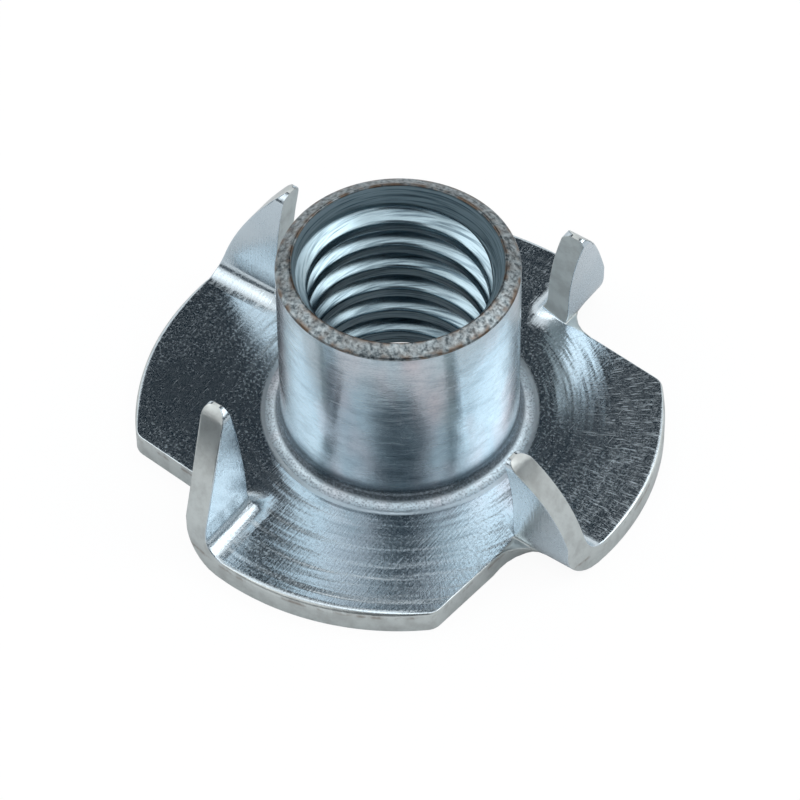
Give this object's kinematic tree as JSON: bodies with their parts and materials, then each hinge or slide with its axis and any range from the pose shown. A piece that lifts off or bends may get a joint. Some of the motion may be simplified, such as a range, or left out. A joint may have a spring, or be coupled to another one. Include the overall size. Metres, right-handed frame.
{
  "type": "tee nut",
  "caption": "Pressed steel tee nut: a threaded barrel drawn up from a round flange, whose rim is cut into curved lobes and folded up into pointed prongs that bite into wood.",
  "frame": {"origin": "on the barrel's axis, in the plane of the flange's underside", "axes": "+Z along the barrel from the flange to the rim; the prongs' folds are parallel to X and Y"},
  "size_m": [0.0206, 0.0206, 0.0093],
  "materials": {
    "zinc_plated_steel": "bright zinc plate"
  },
  "bodies": {
    "root": {"tee_nut": "zinc_plated_steel"}
  },
  "joints": []
}
